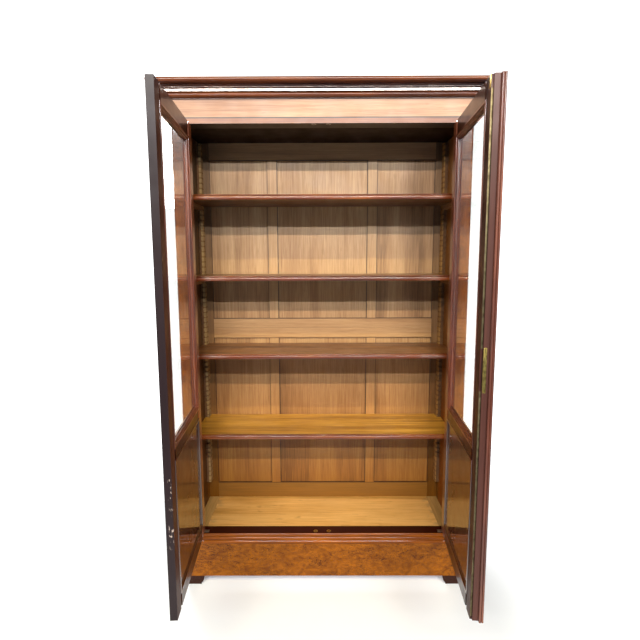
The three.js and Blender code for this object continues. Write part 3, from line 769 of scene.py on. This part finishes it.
ARRISES_MM = {
    "plinth": 1.2, "base_moulding": 0.5, "left_front_post": 1.0, "right_front_post": 1.0, "left_side": 0.8,
    "right_side": 0.8, "top_front_rail": 1.0, "frieze": 0.8, "bottom_board": 0.6, "back_upper_frame": 0.8,
    "back_lower_frame": 0.8}
RACK_ARRIS, CLEAT_ARRIS = 0.4 * MM, 0.8 * MM
for name, width in ARRISES_MM.items():
    soften(name, width * MM)
for name, _ in SIDES:
    for end in ("front", "rear"):
        soften(f"{name}_{end}_rack", RACK_ARRIS, 1)
    for number in SHELVES:
        soften(f"shelf_{number}_{name}_cleat", CLEAT_ARRIS)

# ---- Cornice: two rounds with fillets between them, mitred at the corners ----------------------------
CORNICE_INWARD = -22 * MM       # how far the moulding reaches in over the frieze
UPPER_ROUND = 10.3 * MM
ROUND_STEPS, BEAD_STEPS = 12, 8


def cornice():
    low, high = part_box("cornice")
    height = high.z - low.z
    out_most = -low.x - HALF_WIDTH

    # The section, as pairs: out from the posts, and up from the cornice's foot.
    below = [(CORNICE_INWARD, 0), *in_mm((6, 0), (6, 2.5), (10, 3))]
    below += arc(12 * MM, 13.8 * MM, 11 * MM, 10.4 * MM, -90, 90, ROUND_STEPS)
    fillets = in_mm((15, 25), (24, 25.6), (24, 37), (36, 37.6), (36, 42.5), (46, 43))
    above = in_mm((46, 47.6))
    above += arc(out_most - UPPER_ROUND, height - UPPER_ROUND, UPPER_ROUND, UPPER_ROUND, -90, 90,
                 ROUND_STEPS)
    above += [(CORNICE_INWARD, height)]
    section = below + fillets + above

    def station(aside, in_front):
        """The section at a front corner, or at the rear end of a return."""
        return [(aside * (HALF_WIDTH + out), FRONT_Y - out if in_front else high.y, low.z + up)
                for out, up in section]

    def build(shape):
        skin(shape, [station(-1, False), station(-1, True), station(1, True), station(1, False)],
             closed=False, caps=True)
        for number, face in enumerate(shape.faces):
            if len(below) <= number % len(section) < len(below) + len(fillets):
                face.material_index = 1

    look = dict(axis="x", seed=3, mitred=True, bump=0.0, tones=("240B04", "562408", "84420E"))
    rounds = mahogany("mahogany_cornice", coat=0.35, coat_rough=0.2, gloss=0.3, **look)
    piece("cornice_moulding", build, [rounds, mahogany("mahogany_fillets", coat_rough=0.06, **look)],
          "case", replaces=["cornice"])


cornice()

# ---- Shelves: a board notched round the racks, and a moulded front edge ------------------------------
RACK_CLEAR = 2 * MM
EDGE_DEPTH, EDGE_LAP = 9.5 * MM, 0.2 * MM
EDGE_BEAD, BEAD_BACK = 2.6 * MM, 1.2 * MM       # the bead's radius, and how far back it stands
EDGE_ROUND, EDGE_FLAT = 4.2 * MM, 1.0 * MM      # how far the round stands out, and the flat over it
# The four shelves are one wood, each given the tones it shows in its own light: dark on the upper three as
# painted shade, golden on the lowest as painted light.
SHELF_IN_SHADE = ("3A1E0A", "663C14", "8A5A22")
SHELF_TONES_LIT_AND_SHADED = (SHELF_IN_SHADE, SHELF_IN_SHADE, ("3A1C0C", "663A1C", "885826"), ("7C4A12", "B47E26", "D8A03E"))
shelf_wood = [
    wood(f"shelf_wood_{number}", *tones, axis="x", seed=40 + number, rough=0.42, coat=0.3, coat_rough=0.15,
         bump=0.1, pores=0.45, contrast=1.4, flecks=0.3) for number, tones in enumerate(SHELF_TONES_LIT_AND_SHADED, 1)]
shelf_edge = mahogany("mahogany_shelf_edge", "x", 46, tones=("2E0F04", "662A06", "8E4C12"),
                      coat=0.6, coat_rough=0.08, gloss=0.3, bump=0.0)


def shelf_pieces(number):
    low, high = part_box(f"shelf_{number}")
    front = low.y
    round_half = (high.z - low.z - 2 * EDGE_BEAD - EDGE_FLAT) / 2

    def board(shape):
        rack_low, rack_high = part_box("right_front_rack")
        rear_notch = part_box("right_rear_rack")[0].y - RACK_CLEAR
        inner = rack_low.x - RACK_CLEAR
        half = [(high.x, front + EDGE_DEPTH - EDGE_LAP), (high.x, rack_low.y - RACK_CLEAR)]
        half += [(inner, rack_low.y - RACK_CLEAR), (inner, rack_high.y + RACK_CLEAR)]
        half += [(high.x, rack_high.y + RACK_CLEAR), (high.x, rear_notch)]
        half += [(inner, rear_notch), (inner, high.y)]
        extruded_z(shape, half + [(-x, y) for x, y in reversed(half)], low.z, high.z)

    def edge(shape):
        quirk = front + EDGE_ROUND
        bead_y = front + EDGE_BEAD + BEAD_BACK
        profile = [(front + EDGE_DEPTH, low.z), (quirk, low.z)]
        profile += arc(quirk, low.z + round_half, EDGE_ROUND, round_half, 270, 90, ROUND_STEPS)[1:-1]
        profile += [(quirk, low.z + 2 * round_half), (quirk, high.z - 2 * EDGE_BEAD)]
        profile += arc(bead_y, high.z - EDGE_BEAD, EDGE_BEAD, EDGE_BEAD, 270, 90, BEAD_STEPS)[1:]
        profile += [(front + EDGE_DEPTH, high.z)]
        extruded_x(shape, profile, low.x, high.x)

    body = f"shelf_{number}"
    piece(f"shelf_{number}_board", board, shelf_wood[number - 1], body, replaces=[body])
    piece(f"shelf_{number}_edge", edge, shelf_edge, body)


for number in SHELVES:
    shelf_pieces(number)

# ---- Doors -----------------------------------------------------------------------------------------
brass = metal("old_brass", "D8BC68", "7A5C28", 0.28, 41)
dull_brass = metal("dull_brass", "7C7256", "463A28", 0.5, 43)
steel = metal("old_steel", "C8C4BE", "6C6864", 0.36, 42)
glass = old_glass("sheet_glass")

STILE_ARRIS, PIVOT_ARRIS, BOLT_ARRIS = 1.0 * MM, 0.3 * MM, 0.8 * MM
FREE_EDGE_DEPTH = 2.8 * MM
CHIPPED = (0.55, 0.82)       # heights between which the left leaf's free edge is chipped
FREE_EDGE_TINT = {"left": "1A080C", "right": "4A2820"}


def worn_arris(low, high):
    """Mask for the inner half of the left leaf's free edge, at the heights where it is chipped."""
    def mask(g):
        place = g.place()
        inner_half = g.math("GREATER_THAN", place["X"], (low.x + high.x) / 2)
        on_edge = g.math("LESS_THAN", place["Y"], low.y + FREE_EDGE_DEPTH)
        return g.math("MULTIPLY", g.math("MULTIPLY", on_edge, inner_half), g.between(place["Z"], *CHIPPED))

    return mask


def paint_leaf(name, side, seed):
    """The frame of a leaf, its pane and its pivots. An open leaf's free edge faces the front."""
    door = f"{name}_door"
    hinge_low, hinge_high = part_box(f"{door}_hinge_stile")
    edge_low, edge_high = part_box(f"{door}_meeting_stile")
    outer_half = further_out(abs(hinge_low.x + hinge_high.x) / 2)
    # The hinge stile is given lighter tones than the rest of the leaf as a painted sheen; its outer half
    # keeps a dark tint.
    paint([f"{door}_hinge_stile"], mahogany(
        f"{name}_stile_wood_painted_sheen", "z", seed, tones=("3A150B", "7A381E", "A25E38"),
        zones=[(outer_half, "38140A")]))
    paint([f"{door}_meeting_stile"], mahogany(
        f"{name}_meeting_wood", "z", seed + 1, coat=0.25, coat_rough=0.3, coat_ior=1.5, gloss=0.25,
        rough=0.6, zones=[(before(edge_low.y + FREE_EDGE_DEPTH), FREE_EDGE_TINT[name])],
        chipped=worn_arris(edge_low, edge_high) if name == "left" else None))
    paint([f"{door}_{rail}_rail" for rail in ("top", "middle", "bottom")], mahogany(
        f"{name}_rail_wood", "x", seed + 2, turn=-DOOR_OPEN[side], coat=0.4, coat_ior=1.5, gloss=0.2,
        tones=("120603", "2E1109", "4C2210")))
    paint([f"{door}_top_pivot", f"{door}_bottom_pivot"], brass)
    paint([f"{door}_glass"], glass)
    for part in ("hinge_stile", "meeting_stile", "top_rail", "middle_rail", "bottom_rail"):
        soften(f"{door}_{part}", STILE_ARRIS)
    for part in ("top_pivot", "bottom_pivot"):
        soften(f"{door}_{part}", PIVOT_ARRIS, 1)


# Sections of the mouldings, as pairs: inward from the edge of the opening, and y in leaf space.
BEAD_WIDTH, BEAD_EDGE = 20 * MM, 3 * MM
NOSE_HALF, NOSE_HEIGHT = 5 * MM, 3 * MM
HOLLOW_START, HOLLOW_WIDTH, HOLLOW_DROP = 11 * MM, 7 * MM, 5 * MM


def bead_section(foot, face):
    """Inside: a nose, a small step and an ogee down to the pane or the board."""
    nose = arc(NOSE_HALF, face - NOSE_HEIGHT, NOSE_HALF, NOSE_HEIGHT, 160, 20, 10)
    step = [(2 * NOSE_HALF, face - 4 * MM), (HOLLOW_START, face - HOLLOW_DROP)]
    slope = arc(HOLLOW_START, foot + BEAD_EDGE, HOLLOW_WIDTH, face - HOLLOW_DROP - BEAD_EDGE - foot, 90, 0, 9)
    outline = [(0, foot), (0, face - NOSE_HEIGHT), *nose, *step, *slope]
    return outline + [(BEAD_WIDTH, foot + BEAD_EDGE), (BEAD_WIDTH, foot)]


LIP = 18.3 * MM
OVOLO_PROUD = 0.3 * MM
OVOLO_HEIGHT, OVOLO_QUIRK, OVOLO_WIDTH = 9 * MM, 1.5 * MM, 9.5 * MM
OVOLO_ROUND = (7 * MM, 6.5 * MM)


def ovolo_section(flush):
    """Outside: an ovolo in the angle between the lip and the glass or the panel."""
    start = LIP + OVOLO_QUIRK
    outline = [(LIP, flush), (LIP, flush - OVOLO_HEIGHT), (start, flush - OVOLO_HEIGHT)]
    outline += arc(start, flush - OVOLO_QUIRK, *OVOLO_ROUND, -90, 0, 6)
    return outline + [(LIP + OVOLO_WIDTH, flush - OVOLO_QUIRK), (LIP + OVOLO_WIDTH, flush)]


PANEL_T = 11 * MM
SUNK = 1 * MM        # how far the moulding's foot is sunk into the panel


def leaf_mouldings(name, side, seed):
    """A bead round the glass and a moulding round the panel inside, and two ovolos outside."""
    door = f"{name}_door"
    matrix = leaf_matrix(side)
    bead_wood = mahogany(
        f"{name}_bead_wood", "z", seed + 3, tones=("280D07", "5C2816", "84482A"), coat=0.5, coat_rough=0.1)
    panel_wood = mahogany(
        f"{name}_panel_wood", "z", seed + 4, tones=("160503", "300C04", "4A1A08"), coat=1.0,
        coat_rough=0.02, coat_ior=1.75)
    bead_low, bead_high = leaf_box(f"{door}_glazing_bead", side)
    panel_low, panel_high = leaf_box(f"{door}_lower_panel", side)
    board_face = panel_low.y + PANEL_T
    inside = bead_section(bead_low.y, bead_high.y)

    def bead(shape):
        swept_frame(shape, bead_low.x, bead_high.x, bead_low.z, bead_high.z, inside)

    def panel(shape):
        swept_frame(shape, panel_low.x, panel_high.x, panel_low.z, panel_high.z,
                    [(inset, y if y > board_face else board_face - SUNK) for inset, y in inside])
        block(shape, panel_low, (panel_high.x, board_face, panel_high.z))

    piece(f"{door}_bead_moulding", bead, bead_wood, door, matrix,
          replaces=[f"{door}_glazing_bead"])
    piece(f"{door}_panel_board", panel, panel_wood, door, matrix,
          replaces=[f"{door}_lower_panel"])

    pane_y = leaf_box(f"{door}_glass", side)[0].y
    outer = (("glass", bead_low, bead_high, pane_y), ("panel", panel_low, panel_high, panel_low.y))
    for part, low, high, surface in outer:
        ovolo = ovolo_section(surface - OVOLO_PROUD)
        piece(f"{door}_outer_{part}_moulding", lambda shape: swept_frame(
            shape, low.x, high.x, low.z, high.z, ovolo), bead_wood, door, matrix)


for name, side in SIDES:
    leaf_seed = 60 if name == "right" else 50
    paint_leaf(name, side, leaf_seed)
    leaf_mouldings(name, side, leaf_seed)

paint(["right_door_lock"], brass)
soften("right_door_lock", PIVOT_ARRIS, 1)
for end in ("top", "bottom"):
    paint([f"right_door_{end}_bolt"], steel)
    soften(f"right_door_{end}_bolt", BOLT_ARRIS)

NOSE_BACK = 0.6 * MM         # keeps the reeds inside the CAD strip
REED_FLAT = 0.92             # a reed's half width, as a share of its reach


def reeded_astragal():
    """The strip that laps the left leaf, with two reeds along its nose."""
    low, high = leaf_box("right_door_astragal", 1)
    reed = (high.y - low.y) / 4
    nose = high.x - reed - NOSE_BACK
    plan = [(low.x, low.y), (low.x, high.y)]
    for reed_y in (high.y - reed, low.y + reed):
        plan += arc(nose, reed_y, reed, reed * REED_FLAT, 90, -90, BEAD_STEPS)
    material = mahogany("astragal_wood", "z", 71, tones=("2E100A", "62301F", "8A5038"), coat=0.4,
                        coat_rough=0.2, rough=0.5, bump=0.0)
    piece("right_door_astragal_reeds", lambda shape: extruded_z(shape, plan, low.z, high.z), material,
          "right_door", leaf_matrix(1), replaces=["right_door_astragal"])


reeded_astragal()

# ---- Door furniture and plates -----------------------------------------------------------------------
PLATE_T, LOCK_FACE_T = 1.0 * MM, 0.7 * MM
PLATE_CHAMFER = 0.3 * MM
SCREW_R = 2.6 * MM
FIRST_TURN, TURN_STEP = 15, 37       # degrees by which the screws' slots are turned
RING_STEPS = 28
HINGE_Y = JOINTS["left_door_hinge"]["pos_m"][1]


def plate(name, low, high, screws, normal, body, matrix=None, material=brass):
    """A thin plate with chamfered edges and a screw at each place. Its face looks along normal."""
    def build(shape):
        block(shape, low, high, PLATE_CHAMFER)
        for number, place in enumerate(screws):
            screw(shape, Vector(place), SCREW_R, normal, TURN_STEP * number + FIRST_TURN)

    piece(name, build, material, body, matrix)


def ring_plate(name, place, outer, hole, facing, body, material=brass):
    """A round plate with a hole in it, lying on a face that looks up (1) or down (-1)."""
    # Radius and height, from the hole's edge over the dished top to the rim.
    section = ((hole, 0), (hole, PLATE_T * 0.7), (outer * 0.82, PLATE_T), (outer, PLATE_T * 0.4), (outer, 0))
    angles = [math.tau * i / RING_STEPS for i in range(RING_STEPS)]

    def build(shape):
        skin(shape, [[
            (place[0] + radius * math.cos(a), place[1] + radius * math.sin(a), place[2] + facing * up)
            for a in angles] for radius, up in section])

    piece(name, build, material, body)


PLATE_IN, PLATE_OUT, PLATE_HALF = 34 * MM, 12 * MM, 11 * MM      # reach from the pivot, in x and in y
PLATE_SCREWS = (26, 5)       # millimetres from the pivot, in x and in y


def ledge_plates():
    """Under each leaf's bottom pivot lies a steel plate."""
    for name, side in SIDES:
        pivot_x = JOINTS[f"{name}_door_hinge"]["pos_m"][0]
        ends = sorted((pivot_x - side * PLATE_IN, pivot_x + side * PLATE_OUT))
        screw_x, apart = PLATE_SCREWS
        heads = [
            (pivot_x - side * screw_x * MM, HINGE_Y + dy * MM, DECK_Z + PLATE_T) for dy in (-apart, apart)]
        plate(f"{name}_ledge_plate", (ends[0], HINGE_Y - PLATE_HALF, DECK_Z),
              (ends[1], HINGE_Y + PLATE_HALF, DECK_Z + PLATE_T), heads, (0, 0, 1), "case", None, steel)


STRIKE_R, STRIKE_HOLE = 11 * MM, 5.2 * MM
LEFT_STRIKE_OUT = 10 * MM    # how much further out the left leaf's strikes lie


def strikes():
    """Where the bolts go, on the ledge and under the top rail, and the same on the left."""
    bolt_low, bolt_high = leaf_box("right_door_top_bolt", 1)
    bolt_x = JOINTS["right_door_hinge"]["pos_m"][0] - (bolt_low.x + bolt_high.x) / 2
    for label, x in (("right", bolt_x), ("left", -bolt_x - LEFT_STRIKE_OUT)):
        ring_plate(f"{label}_ledge_strike", (x, HINGE_Y, DECK_Z), STRIKE_R, STRIKE_HOLE, 1, "case")
        ring_plate(f"{label}_rail_strike", (x, HINGE_Y, OPENING_TOP), STRIKE_R, STRIKE_HOLE, -1, "case",
                   steel)


REBATE = 8 * MM
HEAD_PLATE = 40 * MM
HEAD_PLATE_IN, HEAD_SCREW_IN = 30 * MM, 19 * MM      # from the stile's free edge
HEAD_SCREWS_DOWN = (9, 31)                           # millimetres below the leaf's top
STRIP_SIDES = (0.6 * MM, 0.8 * MM)                   # gaps at the rebate's corner and at its arris
STRIP_FOOT, STRIP_TO_LOCK, STRIP_TO_PLATE = 12 * MM, 4 * MM, 3 * MM
MARGIN = 1 * MM                                      # a plate's distance from an arris
LOCK_FACE_PAST, LOCK_SCREW_PAST = 8 * MM, 3 * MM     # beyond the lock, at its foot and head


def right_leaf_plates():
    """A brass strip in the rebate above and below the lock, a plate at the head and the lock's face."""
    matrix = leaf_matrix(1)
    low, high = leaf_box("right_door_meeting_stile", 1)
    lock_low, lock_high = leaf_box("right_door_lock", 1)
    strip_x = high.x - REBATE
    strip_y = (high.y - REBATE + STRIP_SIDES[0], high.y - STRIP_SIDES[1])
    spans = (("foot_strip", low.z + STRIP_FOOT, lock_low.z - STRIP_TO_LOCK),
             ("head_strip", lock_high.z + STRIP_TO_LOCK, high.z - HEAD_PLATE - STRIP_TO_PLATE))
    for label, z0, z1 in spans:
        plate(f"right_door_{label}", (strip_x, strip_y[0], z0), (strip_x + PLATE_T, strip_y[1], z1), [],
              (1, 0, 0), "right_door", matrix, dull_brass)

    head_screws = [(high.x - HEAD_SCREW_IN, high.y + PLATE_T, high.z - dz * MM) for dz in HEAD_SCREWS_DOWN]
    plate("right_door_head_plate", (high.x - HEAD_PLATE_IN, high.y, high.z - HEAD_PLATE),
          (high.x - REBATE - MARGIN, high.y + PLATE_T, high.z - MARGIN), head_screws, (0, 1, 0),
          "right_door", matrix)

    face_x = lock_high.x + LOCK_FACE_T
    lock_screws = [(face_x, 0, lock_low.z - LOCK_SCREW_PAST), (face_x, 0, lock_high.z + LOCK_SCREW_PAST)]
    plate("right_door_lock_face", (lock_high.x, lock_low.y - MARGIN, lock_low.z - LOCK_FACE_PAST),
          (face_x, lock_high.y - MARGIN, lock_high.z + LOCK_FACE_PAST), lock_screws, (1, 0, 0),
          "right_door", matrix)


ledge_plates()
strikes()
right_leaf_plates()

# ---- Stage -----------------------------------------------------------------------------------------
FLOOR_SHOWN, FLOOR_GONE = 1.3, 2.6       # distances from the middle between which the floor fades
FLOOR_TONES = ((0.86, 0.90, 0.97, 1), (0.89, 0.93, 1.0, 1))
FLOOR_SCALE = 3.0
FLOOR_REACH = 4.0


def pale_floor():
    g = Graph("pale_floor")
    tone = g.ramp(g.noise(g.spot(), FLOOR_SCALE), list(zip((0.3, 0.7), FLOOR_TONES)))
    surface = g.add("BsdfPrincipled", {"Base Color": tone, "Roughness": 0.8}).outputs["BSDF"]
    distance = g.add("VectorMath", {0: g.spot()}, operation="LENGTH").outputs["Value"]
    fade = g.fade_in(distance, FLOOR_SHOWN, FLOOR_GONE)
    empty = g.add("BsdfTransparent").outputs["BSDF"]
    return g.surface(g.add("MixShader", {0: fade, 1: surface, 2: empty}).outputs["Shader"])


floor_mesh = bpy.data.meshes.new("floor")
corners = [(x * FLOOR_REACH, y * FLOOR_REACH, 0) for x, y in ((-1, -1), (1, -1), (1, 1), (-1, 1))]
floor_mesh.from_pydata(corners, [], [(0, 1, 2, 3)])
floor_mesh.materials.append(pale_floor())
floor = bpy.data.objects.new("floor", floor_mesh)
bpy.context.scene.collection.objects.link(floor)
